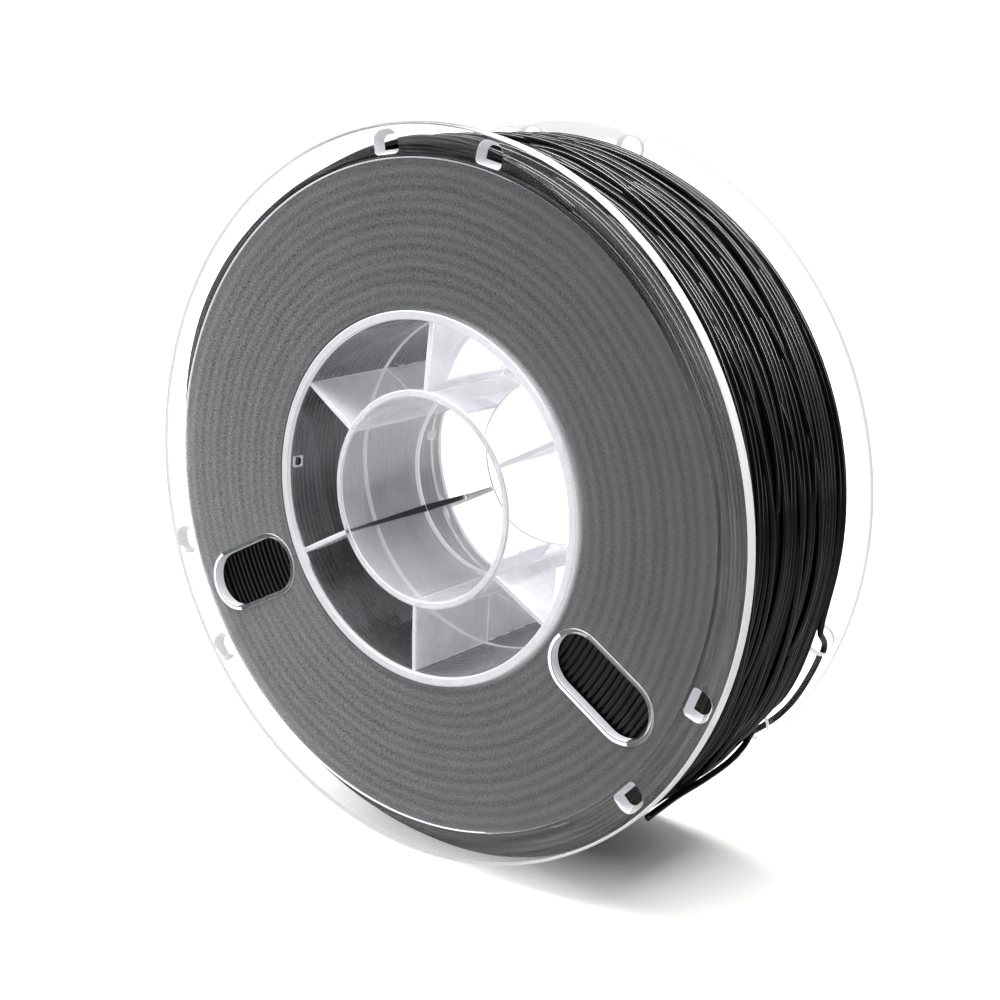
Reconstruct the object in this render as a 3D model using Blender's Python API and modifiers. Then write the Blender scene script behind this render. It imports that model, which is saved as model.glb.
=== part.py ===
"""Filament spool: two clear moulded halves that meet at the middle plane, and one
continuous 1.75 mm strand wound between their flanges.

Frame: metres, +Z up. The origin is the centre of the spool and its turning axis is Y.
The front half is on the -Y side, the rear half on the +Y side. The spool stands on
the rims of its two flanges.
"""

import math

import bmesh
import bpy
from mathutils import Matrix, Vector

MM = 0.001

# All sizes are in millimetres and all angles in degrees. Angles turn about the spool's
# axis from +X (0) towards +Z (90). Heights are measured from the middle plane outwards.

# ---- flange and barrel ---------------------------------------------------------------
CLOCKING = -1.4  # turn of the moulded halves' features about the axis
FLANGE_R = 100.0
HALF_WIDTH = 33.2  # middle plane to a flange's outer face
FLANGE_T = 3.0
INNER_FACE = HALF_WIDTH - FLANGE_T  # height of a flange's inner face
PANEL_R = 90.9  # outer edge of the recessed panel
PANEL_DEPTH = 0.3  # how far the panel lies below the rim's face
BARREL_R = 50.6  # outside of the barrel that the strand is wound on
BARREL_IN_R = 48.5
JOINT_GAP = 0.3  # between the two halves at the middle plane
JOINT_FACE = JOINT_GAP / 2
EDGE = 0.4  # chamfer on the rim and on the tube's mouth
TURN_STEPS = 96  # sides of a turned shape
CUT_MARGIN = 4.0  # how far a cutter reaches past each face of the flange

# ---- bore tube and ribs --------------------------------------------------------------
BORE_R = 27.8  # spindle bore
TUBE_FACE_R = 29.8  # outside of the bore tube at the flange face
TUBE_MID_R = 30.4  # and at the middle plane: mould draft
RIB_COUNT = 6
RIB_FIRST_ANGLE = 30.0
RIB_T = 1.5
RIB_IN_R = TUBE_FACE_R - 0.9  # sunk into the tube wall
RIB_OUT_R = BARREL_IN_R + 1.0  # sunk into the barrel wall
RIB_LOW = JOINT_FACE + 0.1
RIB_HIGH = HALF_WIDTH - 0.3
RIB_FALL = 1.2  # drop of the rib's outer edge where it meets the barrel

# ---- windows: slots that show how much strand is left ----------------------------------
WINDOW_ANGLES = (210.0, 330.0)
WINDOW_IN_R = 54.4
WINDOW_OUT_R = 86.5
WINDOW_HALF = 7.8  # half width, and radius of the round ends
WINDOW_END_STEPS = 14
COLLAR = 1.1  # width of the raised edge round a window
COLLAR_LOW = INNER_FACE + 0.8

# ---- rim holes that hold the strand's free end -----------------------------------------
HOLE_PAIRS = (90.0, 210.0, 330.0)  # middle of each pair
HOLE_SPREAD = 10.4  # a hole stands this far each side of its pair's middle
HOLE_CENTRE_R = 95.1
HOLE_RADIAL = 6.4
HOLE_WIDE = 8.2
HOLE_INNER_CORNER = 1.2
HOLE_OUTER_CORNER = 3.2
HOLE_INNER_STEPS = 4
HOLE_OUTER_STEPS = 7

# ---- square hole in the barrel for the strand's first end ------------------------------
ANCHOR_ANGLE = 180.0
ANCHOR_SIDE = 3.0
ANCHOR_FLANGE_GAP = 0.2
ANCHOR_CUT_LENGTH = 8.0

# ---- strand --------------------------------------------------------------------------
STRAND_R = 0.875
STRAND_BEVEL = 2  # bevel resolution of the round section
PACK_R = 92.3  # outside of the tightly wound part
PACK_GAP = 0.3  # from the pack to the barrel and to the flanges
PACK_SHOULDER = 1.0
WRAP_CLEARANCE = 0.325  # between the pack and the loose last turns
WRAP_R = PACK_R + WRAP_CLEARANCE + STRAND_R  # centre line of the last turns
WRAP_TURNS = 2.25
WRAP_STEPS = 60  # segments in one turn
WRAP_START_Y = -26.5
WRAP_END_Y = 28.2
WRAP_SWAY = 0.035  # uneven drift, as a share of the way across
WRAP_SWAY_WAVES = 2.0
LEAVE_ANGLE = -10.0  # where the last turn ends and the stowed end begins
PATH_STEPS = 4  # segments between two stations of a smooth path

# Stations along the centre line: (radius, angle, y).
STOWED_END = [
    # off the coil
    (WRAP_R, LEAVE_ANGLE - 0.8, WRAP_END_Y + 0.05),
    (WRAP_R + 0.1, LEAVE_ANGLE - 4.0, WRAP_END_Y + 0.15),
    (WRAP_R + 0.5, LEAVE_ANGLE - 7.0, WRAP_END_Y + 0.3),
    # out through the first hole
    (94.5, -19.4, 29.4),
    (95.0, -20.6, 31.4),
    (95.4, -22.0, 33.9),
    # along the outside of the flange
    (95.8, -24.0, 35.1),
    (96.4, -28.5, 35.4),
    (97.0, -34.0, 35.4),
    (96.9, -38.0, 35.3),
    # back in through the second hole
    (96.5, -40.6, 34.2),
    (96.3, -41.7, 32.2),
    (96.2, -41.9, 29.9),
]
TAIL_PIVOT = (96.2, -41.9, 28.8)  # where the free tail bends
TAIL = [
    TAIL_PIVOT,
    (96.5, -42.0, 27.0),
    (98.2, -42.5, 22.0),
    (99.6, -43.3, 14.0),
    (100.0, -44.6, 4.0),
    (99.9, -45.8, -6.0),
    (100.3, -46.4, -15.0),
    (100.7, -46.5, -21.5),
]

# ---- mesh handling -------------------------------------------------------------------
TURN_MERGE = 0.01  # merge distance where a turned ring closes
WELD_DISTANCE = 0.002
SHARP_ANGLE = 30.0  # edges steeper than this stay sharp

# Axial shapes are drawn with their own +Z along the spool's axis, pointing out of the
# front face; turned a quarter about X, that direction becomes world -Y and their
# angles about Z become the spool's angles.
OUTWARD = Matrix.Rotation(math.radians(90.0), 4, "X")


# ---- materials -----------------------------------------------------------------------
def material(name, colour, roughness, transmission, ior):
    mat = bpy.data.materials.new(name)
    mat.use_nodes = True
    inputs = mat.node_tree.nodes["Principled BSDF"].inputs
    inputs["Base Color"].default_value = (*colour, 1.0)
    inputs["Roughness"].default_value = roughness
    inputs["Transmission Weight"].default_value = transmission
    inputs["IOR"].default_value = ior
    viewport_alpha = 1.0 - 0.5 * transmission
    mat.diffuse_color = (*colour, viewport_alpha)
    return mat


def clear_plastic(name, colour):
    return material(name, colour, roughness=0.06, transmission=0.9, ior=1.59)


def filament_plastic(name, colour, roughness):
    return material(name, colour, roughness=roughness, transmission=0.0, ior=1.45)


# ---- placing and meshing ---------------------------------------------------------------
def polar(radius, degrees, y):
    """World point at a radius and an angle about the spool's axis."""
    angle = math.radians(degrees)
    return Vector((radius * math.cos(angle), y, radius * math.sin(angle))) * MM


def new_collection(name):
    collection = bpy.data.collections.new(name)
    bpy.context.scene.collection.children.link(collection)
    return collection


def link(obj, collection, mat=None):
    collection.objects.link(obj)
    if mat is not None:
        obj.data.materials.clear()
        obj.data.materials.append(mat)
    return obj


def weld(mesh):
    """Merge doubled vertices and point the faces outwards."""
    bm = bmesh.new()
    bm.from_mesh(mesh)
    bmesh.ops.remove_doubles(bm, verts=bm.verts[:], dist=WELD_DISTANCE * MM)
    bmesh.ops.recalc_face_normals(bm, faces=bm.faces[:])
    bm.to_mesh(mesh)
    bm.free()


def as_mesh(obj, name, collection, mat=None):
    """Replace the object by its evaluated shape, as a plain closed mesh in its place."""
    bpy.context.view_layer.update()
    graph = bpy.context.evaluated_depsgraph_get()
    mesh = bpy.data.meshes.new_from_object(obj.evaluated_get(graph))
    mesh.name = name
    place = obj.matrix_world.copy()
    bpy.data.objects.remove(obj, do_unlink=True)
    made = link(bpy.data.objects.new(name, mesh), collection, mat)
    made.matrix_world = place
    weld(mesh)
    return made


def smooth_by_angle(mesh):
    mesh.shade_smooth()
    mesh.set_sharp_from_angle(angle=math.radians(SHARP_ANGLE))


def turned(name, profile, collection, mat=None):
    """A ring turned about the axis from a closed profile of (radius, height), clockwise."""
    mesh = bpy.data.meshes.new(name)
    verts = [(radius * MM, 0.0, height * MM) for radius, height in profile]
    edges = [(i, (i + 1) % len(verts)) for i in range(len(verts))]
    mesh.from_pydata(verts, edges, [])
    obj = link(bpy.data.objects.new(name, mesh), collection, mat)
    screw = obj.modifiers.new("turn", "SCREW")
    screw.axis = "Z"
    screw.angle = math.tau
    screw.steps = TURN_STEPS
    screw.render_steps = TURN_STEPS
    screw.use_merge_vertices = True
    screw.merge_threshold = TURN_MERGE * MM
    obj.matrix_world = OUTWARD
    return obj


def poly_spline(curve, points):
    """Add a straight-sided spline through points in metres."""
    spline = curve.splines.new("POLY")
    spline.points.add(len(points) - 1)
    for point, place in zip(spline.points, points):
        point.co = (*place, 1.0)
    return spline


def flat_outline(name, points, low, high, collection):
    """A flat closed outline of (x, y), extruded from height low to high."""
    curve = bpy.data.curves.new(name + "_outline", "CURVE")
    curve.dimensions = "2D"
    curve.fill_mode = "BOTH"
    curve.extrude = (high - low) * 0.5 * MM
    poly_spline(curve, [(x * MM, y * MM, 0.0) for x, y in points]).use_cyclic_u = True
    guide = link(bpy.data.objects.new(name + "_outline", curve), collection)
    guide.matrix_world = OUTWARD @ Matrix.Translation((0, 0, (high + low) * 0.5 * MM))
    return as_mesh(guide, name, collection)


def block(name, size, centre, degrees, collection):
    """A box of size (radial, across, along the axis), centred at (radius, height)."""
    bpy.ops.mesh.primitive_cube_add(size=1.0)
    obj = bpy.context.active_object
    for user in list(obj.users_collection):
        user.objects.unlink(obj)
    collection.objects.link(obj)
    obj.name = name
    obj.data.name = name
    obj.data.transform(Matrix.Diagonal((*(side * MM for side in size), 1.0)))
    obj.matrix_world = (
        OUTWARD
        @ Matrix.Rotation(math.radians(degrees), 4, "Z")
        @ Matrix.Translation((centre[0] * MM, 0.0, centre[1] * MM))
    )
    return obj


def combine(obj, helper, operation):
    """Join the hidden helper to the object, or cut it away, with a live Boolean."""
    helper.hide_render = True
    helper.display_type = "WIRE"
    mod = obj.modifiers.new(operation.lower(), "BOOLEAN")
    mod.object = helper
    mod.operation = operation
    mod.solver = "EXACT"


# ---- outlines ------------------------------------------------------------------------
def arc(centre_x, centre_y, radius, start, end, count):
    step = (end - start) / count
    angles = [math.radians(start + step * i) for i in range(count + 1)]
    return [
        (centre_x + radius * math.cos(angle), centre_y + radius * math.sin(angle))
        for angle in angles
    ]


def spun(points, degrees):
    cos, sin = math.cos(math.radians(degrees)), math.sin(math.radians(degrees))
    return [(x * cos - y * sin, x * sin + y * cos) for x, y in points]


def slot_outline(degrees, margin=0.0):
    """A window's round-ended slot along a radius, grown all round by the margin."""
    half = WINDOW_HALF + margin
    outer_x = WINDOW_OUT_R + margin - half
    inner_x = WINDOW_IN_R - margin + half
    points = arc(outer_x, 0, half, -90, 90, WINDOW_END_STEPS)
    points += arc(inner_x, 0, half, 90, 270, WINDOW_END_STEPS)
    return spun(points, degrees)


def rim_hole_outline(degrees):
    """An arch with its flat side towards the axis and its round side towards the rim."""
    inner, outer = HOLE_INNER_CORNER, HOLE_OUTER_CORNER
    inner_x = HOLE_CENTRE_R - HOLE_RADIAL / 2 + inner
    outer_x = HOLE_CENTRE_R + HOLE_RADIAL / 2 - outer
    inner_y = HOLE_WIDE / 2 - inner
    outer_y = HOLE_WIDE / 2 - outer
    points = (
        arc(inner_x, -inner_y, inner, 180, 270, HOLE_INNER_STEPS)
        + arc(outer_x, -outer_y, outer, 270, 360, HOLE_OUTER_STEPS)
        + arc(outer_x, outer_y, outer, 0, 90, HOLE_OUTER_STEPS)
        + arc(inner_x, inner_y, inner, 90, 180, HOLE_INNER_STEPS)
    )
    return spun(points, degrees)


# ---- moulded halves --------------------------------------------------------------------
def flange_and_barrel(parts, mat):
    panel_face = HALF_WIDTH - PANEL_DEPTH
    profile = [
        (BARREL_IN_R, HALF_WIDTH),
        (BARREL_R, HALF_WIDTH),
        (BARREL_R + PANEL_DEPTH, panel_face),
        (PANEL_R - PANEL_DEPTH, panel_face),
        (PANEL_R, HALF_WIDTH),
        (FLANGE_R - EDGE, HALF_WIDTH),
        (FLANGE_R, HALF_WIDTH - EDGE),
        (FLANGE_R, INNER_FACE + EDGE),
        (FLANGE_R - EDGE, INNER_FACE),
        (BARREL_R, INNER_FACE),
        (BARREL_R, JOINT_FACE),
        (BARREL_IN_R, JOINT_FACE),
    ]
    return turned("front_half", profile, parts, mat)


def add_bore_tube(half, cutters):
    profile = [
        (BORE_R + EDGE, HALF_WIDTH),
        (TUBE_FACE_R - EDGE, HALF_WIDTH),
        (TUBE_FACE_R, HALF_WIDTH - EDGE),
        (TUBE_MID_R, JOINT_FACE),
        (BORE_R, JOINT_FACE),
        (BORE_R, HALF_WIDTH - EDGE),
    ]
    combine(half, turned("tube_blank", profile, cutters), "UNION")


def add_ribs(half, cutters):
    """Radial ribs that tie the bore tube to the barrel."""
    size = (RIB_OUT_R - RIB_IN_R, RIB_T, RIB_HIGH - RIB_LOW)
    centre = ((RIB_IN_R + RIB_OUT_R) / 2, (RIB_LOW + RIB_HIGH) / 2)
    for number in range(RIB_COUNT):
        angle = RIB_FIRST_ANGLE + 360.0 / RIB_COUNT * number + CLOCKING
        rib = block(f"rib_blank_{number + 1}", size, centre, angle, cutters)
        # The face edge slopes down towards the barrel.
        for vertex in rib.data.vertices:
            if vertex.co.z > 0 and vertex.co.x > 0:
                vertex.co.z -= RIB_FALL * MM
        combine(half, rib, "UNION")


def through_cutter(name, outline, cutters):
    """A cutter that passes right through the flange."""
    low, high = INNER_FACE - CUT_MARGIN, HALF_WIDTH + CUT_MARGIN
    return flat_outline(name, outline, low, high, cutters)


def add_windows(half, cutters):
    for number, angle in enumerate(WINDOW_ANGLES, 1):
        collar_outline = slot_outline(angle + CLOCKING, margin=COLLAR)
        collar = flat_outline(
            f"collar_blank_{number}", collar_outline, COLLAR_LOW, HALF_WIDTH, cutters
        )
        combine(half, collar, "UNION")
        outline = slot_outline(angle + CLOCKING)
        window = through_cutter(f"window_cutter_{number}", outline, cutters)
        combine(half, window, "DIFFERENCE")


def cut_rim_holes(half, cutters):
    angles = [pair + side * HOLE_SPREAD for pair in HOLE_PAIRS for side in (-1, 1)]
    for number, angle in enumerate(angles, 1):
        outline = rim_hole_outline(angle + CLOCKING)
        hole = through_cutter(f"rim_hole_cutter_{number}", outline, cutters)
        combine(half, hole, "DIFFERENCE")


def cut_anchor(half, cutters):
    height = INNER_FACE - ANCHOR_FLANGE_GAP - ANCHOR_SIDE / 2
    anchor = block(
        "anchor_cutter",
        (ANCHOR_CUT_LENGTH, ANCHOR_SIDE, ANCHOR_SIDE),
        ((BARREL_R + BARREL_IN_R) / 2, height),
        ANCHOR_ANGLE + CLOCKING,
        cutters,
    )
    combine(half, anchor, "DIFFERENCE")


def build_front_half(parts, cutters):
    mat = clear_plastic("clear_polystyrene", (0.93, 0.94, 0.97))
    half = flange_and_barrel(parts, mat)
    add_bore_tube(half, cutters)
    add_ribs(half, cutters)
    add_windows(half, cutters)
    cut_rim_holes(half, cutters)
    cut_anchor(half, cutters)
    half = as_mesh(half, "front_half", parts, mat)
    half.data.transform(half.matrix_world)
    half.matrix_world = Matrix.Identity(4)
    return half


def build_rear_half(front, parts):
    """The mirror image of the front half across the middle plane."""
    mesh = front.data.copy()
    mesh.name = "rear_half"
    mesh.transform(Matrix.Scale(-1.0, 4, (0.0, 1.0, 0.0)))
    mesh.flip_normals()
    mat = clear_plastic("clear_polystyrene_rear", (0.88, 0.90, 0.95))
    return link(bpy.data.objects.new("rear_half", mesh), parts, mat)


# ---- wound strand ----------------------------------------------------------------------
def build_pack(parts):
    """The tightly wound part, as one solid ring."""
    half = INNER_FACE - PACK_GAP
    inner_r = BARREL_R + PACK_GAP
    profile = [
        (inner_r, half),
        (PACK_R - PACK_SHOULDER, half),
        (PACK_R, half - PACK_SHOULDER),
        (PACK_R, -half + PACK_SHOULDER),
        (PACK_R - PACK_SHOULDER, -half),
        (inner_r, -half),
    ]
    mat = filament_plastic("black_filament", (0.018, 0.018, 0.019), roughness=0.38)
    pack = turned("filament_pack", profile, parts, mat)
    pack = as_mesh(pack, "filament_pack", parts, mat)
    smooth_by_angle(pack.data)


def catmull_rom(before, start, end, after, t):
    """Value at share t of the way from start to end, given their outer neighbours."""
    return 0.5 * (
        2 * start
        + (end - before) * t
        + (2 * before - 5 * start + 4 * end - after) * t * t
        + (3 * start - before - 3 * end + after) * t**3
    )


def smooth_path(stations):
    """World points on a smooth curve through stations of (radius, angle, y)."""
    padded = [stations[0], *stations, stations[-1]]
    path = []
    for span in zip(padded, padded[1:], padded[2:], padded[3:]):
        for step in range(PATH_STEPS):
            share = step / PATH_STEPS
            path.append(polar(*(catmull_rom(*values, share) for values in zip(*span))))
    path.append(polar(*stations[-1]))
    return path


def strand(name, path, parts, mat, origin=Vector((0, 0, 0))):
    """A round strand along a path, closed at both cut ends."""
    curve = bpy.data.curves.new(name, "CURVE")
    curve.dimensions = "3D"
    curve.bevel_depth = STRAND_R * MM
    curve.bevel_resolution = STRAND_BEVEL
    curve.use_fill_caps = True
    poly_spline(curve, [place - origin for place in path])
    link(bpy.data.objects.new(name, curve), parts, mat).location = origin


def build_outer_turns(parts):
    """The last turns lie loose on the pack and cross it from front to rear flange."""
    path = []
    count = int(WRAP_TURNS * WRAP_STEPS)
    for i in range(count + 1):
        share = i / count
        angle = LEAVE_ANGLE + WRAP_TURNS * 360.0 * (1.0 - share)
        drift = share + WRAP_SWAY * math.sin(share * math.tau * WRAP_SWAY_WAVES)
        y = WRAP_START_Y + (WRAP_END_Y - WRAP_START_Y) * drift
        path.append(polar(WRAP_R, angle, y))
    mat = filament_plastic("black_filament_turns", (0.03, 0.03, 0.032), roughness=0.36)
    strand("filament_outer_turns", path, parts, mat)


def build_free_end(parts):
    """The end stowed through two rim holes of the rear flange, and the tail beyond.

    The tail hangs free across the coil. Its origin is the point in the hole's mouth
    that it bends about.
    """
    mat = filament_plastic("black_filament_end", (0.022, 0.022, 0.024), roughness=0.36)
    strand("filament_stowed_end", smooth_path(STOWED_END), parts, mat)
    strand("filament_tail", smooth_path(TAIL), parts, mat, origin=polar(*TAIL_PIVOT))


def main():
    for old in list(bpy.data.objects):
        bpy.data.objects.remove(old, do_unlink=True)
    parts = new_collection("filament_spool")
    cutters = new_collection("cutters")

    front = build_front_half(parts, cutters)
    rear = build_rear_half(front, parts)
    for half in (front, rear):
        smooth_by_angle(half.data)

    build_pack(parts)
    build_outer_turns(parts)
    build_free_end(parts)


main()
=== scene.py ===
"""A clear filament spool with its black winding: the looks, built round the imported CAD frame.

The origin is the spool's centre and its axis is Y; the front flange is on the -Y side and
+Z is up. Shapes are worked out in millimetres, shaders and the stage in metres. Angles
about the axis are in degrees from +X towards +Z.
"""

import math
from functools import partial

import bmesh
import bpy
import numpy as np
from mathutils import Matrix, Vector


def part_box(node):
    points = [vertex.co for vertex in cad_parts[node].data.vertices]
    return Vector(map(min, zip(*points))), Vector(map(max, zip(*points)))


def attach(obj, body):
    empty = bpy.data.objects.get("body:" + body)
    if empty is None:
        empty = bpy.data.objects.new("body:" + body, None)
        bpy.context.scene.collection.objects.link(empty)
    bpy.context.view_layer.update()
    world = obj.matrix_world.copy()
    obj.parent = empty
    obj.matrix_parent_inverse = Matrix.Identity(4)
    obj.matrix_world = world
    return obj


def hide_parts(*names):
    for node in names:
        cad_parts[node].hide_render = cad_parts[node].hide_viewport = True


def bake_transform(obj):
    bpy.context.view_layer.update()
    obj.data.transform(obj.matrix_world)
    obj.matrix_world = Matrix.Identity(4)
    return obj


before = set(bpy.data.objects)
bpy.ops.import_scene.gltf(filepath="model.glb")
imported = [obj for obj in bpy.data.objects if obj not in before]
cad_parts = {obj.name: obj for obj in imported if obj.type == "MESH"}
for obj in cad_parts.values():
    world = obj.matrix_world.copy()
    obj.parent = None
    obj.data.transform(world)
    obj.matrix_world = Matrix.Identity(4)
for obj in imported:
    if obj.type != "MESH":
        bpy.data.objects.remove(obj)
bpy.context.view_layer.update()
MM = 0.001

# ---- moulded halves, in millimetres ---------------------------------------------------------
front_low, front_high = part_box("front_half")
pack_low, pack_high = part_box("filament_pack")
FLANGE_R = -front_low.x / MM
HALF_WIDTH = -front_low.y / MM  # from the middle of the spool to a flange's outer face
MID = -front_high.y / MM  # where a half ends, at the middle of the spool
FLANGE_T = 3.0
INNER = HALF_WIDTH - FLANGE_T
PANEL_DEPTH = 0.3  # the frosted face is sunk by this much
PANEL = HALF_WIDTH - PANEL_DEPTH
PANEL_R = 90.9
BARREL_R, BARREL_IN_R = 50.6, 48.5
BORE_R, TUBE_FACE_R, TUBE_MID_R = 27.8, 29.8, 30.4
RIB_T, RIB_COUNT, FIRST_RIB = 1.5, 6, 30.0
RIB_EDGE_FILLET = 0.35
CLOCKING = -1.4  # the turn of the ribs, windows and holes, in degrees
HOLE_CENTRE_R, HOLE_RADIAL, HOLE_WIDE = 95.1, 6.4, 8.2
HOLE_INNER_CORNER, HOLE_OUTER_CORNER = 1.2, 3.2
HOLE_SPREAD, HOLE_PAIRS = 10.4, (90.0, 210.0, 330.0)
FRONT_HOLE_DRAFT, REAR_HOLE_DRAFT = 1.2, 0.0
WINDOW_ANGLES, WINDOW_R0, WINDOW_R1, WINDOW_HALF = (210.0, 330.0), 54.4, 86.5, 7.8
COLLAR = 1.4
ANCHOR_ANGLE, ANCHOR_SIDE = 180.0 + CLOCKING, 3.0
ANCHOR_TOP = INNER - 0.2
FLANGE_STEPS, TUBE_STEPS, FILLET_STEPS = 192, 144, 4

# ---- wound strand, in millimetres -----------------------------------------------------------
STRAND_R = 0.875
PITCH = 2 * STRAND_R
SIDE_Y = pack_high.y / MM - STRAND_R  # centre of a strand that touches a flange
FIRST_R = BARREL_R + 0.3 + STRAND_R
LAYERS = 27
TOP_R = FIRST_R + PITCH * math.sin(math.radians(60.0)) * (LAYERS - 1)
ACROSS = 34  # turns from one flange to the other
Y_PITCH = 2 * SIDE_Y / (ACROSS - 1)
SIDE_ROWS = 21  # turns that show on a side face; they lie a little looser than the layers
CORE_STEPS, TURN_STEPS = 144, 216
SEED = 20517


# ---- node helpers ---------------------------------------------------------------------------
class Nodes:
    """Builds a node tree in short calls; a value is a number or another node's output."""

    def __init__(self, tree):
        self.tree = tree

    def fill(self, node, inputs):
        """Sets or links inputs, given by name or index."""
        for key, value in inputs.items():
            if isinstance(value, bpy.types.NodeSocket):
                self.tree.links.new(value, node.inputs[key])
            else:
                node.inputs[key].default_value = value

    def make(self, kind, inputs, **settings):
        node = self.tree.nodes.new(kind)
        for name, value in settings.items():
            setattr(node, name, value)
        self.fill(node, inputs)
        return node

    def math(self, operation, first, second=0.0, clamp=False):
        inputs = {0: first, 1: second}
        node = self.make("ShaderNodeMath", inputs, operation=operation, use_clamp=clamp)
        return node.outputs[0]

    def chain(self, operation, parts):
        result = parts[0]
        for part in parts[1:]:
            result = self.math(operation, result, part)
        return result

    def plus(self, *parts):
        return self.chain("ADD", parts)

    def times(self, *parts):
        return self.chain("MULTIPLY", parts)

    def larger(self, *parts):
        return self.chain("MAXIMUM", parts)

    def minus(self, first, second, clamp=False):
        return self.math("SUBTRACT", first, second, clamp)

    def inverse(self, share):
        return self.minus(1.0, share)

    def mixed(self, first, second, share):
        """Share of the first value and the rest of the second."""
        return self.plus(self.times(first, share), self.times(second, 1.0 - share))

    def choose(self, share, high, low):
        return self.plus(self.times(share, high), self.times(self.inverse(share), low))

    def noise(self, vector, scale, detail=2.0, rough=0.5):
        inputs = {"Vector": vector, "Scale": scale, "Detail": detail, "Roughness": rough}
        return self.make("ShaderNodeTexNoise", inputs).outputs["Fac"]

    def spread(self, value, over, to=(0.0, 1.0)):
        """Maps the range over onto the range to, clamped."""
        names = ("Value", "From Min", "From Max", "To Min", "To Max")
        inputs = dict(zip(names, (value, *over, *to)))
        return self.make("ShaderNodeMapRange", inputs, clamp=True).outputs[0]

    def blend(self, share, low, high):
        """A colour from low to high by share."""
        inputs = {0: share, 6: low, 7: high}
        node = self.make("ShaderNodeMix", inputs, data_type="RGBA", clamp_factor=True)
        return node.outputs[2]

    def combine(self, x, y, z=0.0):
        return self.make("ShaderNodeCombineXYZ", {"X": x, "Y": y, "Z": z}).outputs[0]

    def split(self, vector):
        return self.make("ShaderNodeSeparateXYZ", {"Vector": vector}).outputs

    def length(self, first, second):
        return self.math("SQRT", self.plus(self.times(first, first), self.times(second, second)))

    def radius(self, place):
        """Distance from the spool's axis, in metres."""
        x, _, z = self.split(place)
        return self.length(x, z)

    def cylinder(self, place):
        """(radius, angle, y) of a point about the spool's axis, in metres and radians."""
        x, y, z = self.split(place)
        return self.length(x, z), self.math("ARCTAN2", z, x), y

    def bump(self, height, strength, distance):
        inputs = {"Strength": strength, "Distance": distance, "Height": height}
        return self.make("ShaderNodeBump", inputs).outputs[0]


def rgba(colour, scale=1.0):
    return (*(channel * scale for channel in colour), 1.0)


def new_material(name):
    """(material, its nodes, its Principled shader, the object coordinates)."""
    material = bpy.data.materials.new(name)
    material.use_nodes = True
    nodes = Nodes(material.node_tree)
    shader = material.node_tree.nodes["Principled BSDF"]
    return material, nodes, shader, nodes.make("ShaderNodeTexCoord", {}).outputs["Object"]


# ---- materials ------------------------------------------------------------------------------
POLYSTYRENE_IOR = 1.59
FILAMENT_IOR = 1.43


def clear_look():
    """Crystal polystyrene: faint moulding waves, and hazy streaks in the flange's rim band."""
    material, nodes, shader, place = new_material("clear_polystyrene")
    tint = (0.985, 0.985, 0.993)
    flow = nodes.noise(place, scale=26.0, rough=0.45)
    fine = nodes.noise(place, scale=620.0, detail=3.0, rough=0.6)
    cloud = nodes.noise(place, scale=60.0, detail=3.0, rough=0.55)
    radius, angle, _ = nodes.cylinder(place)
    # stretched round the axis, so that the streaks follow the rim
    around = nodes.combine(nodes.times(radius, 1150.0), nodes.times(angle, 1.6))
    streak = nodes.noise(around, scale=1.0, detail=3.0, rough=0.65)
    rim_band = nodes.times(
        nodes.spread(radius, over=(0.0905, 0.0912)),
        nodes.spread(radius, over=(0.097, 0.099), to=(1.0, 0.35)),
    )
    streak = nodes.times(nodes.spread(streak, over=(0.42, 0.66)), rim_band)
    streak_haze = 0.085
    share = nodes.spread(cloud, over=(0.3, 0.7))
    nodes.fill(shader, {
        "Base Color": nodes.blend(share, rgba(tint, 0.97), rgba(tint)),
        "Roughness": nodes.spread(fine, over=(0.3, 0.75), to=(0.012, 0.015)),
        "IOR": POLYSTYRENE_IOR,
        "Transmission Weight": nodes.inverse(nodes.times(streak, streak_haze)),
        "Normal": nodes.bump(flow, strength=0.004, distance=0.004),
    })
    return material


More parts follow.
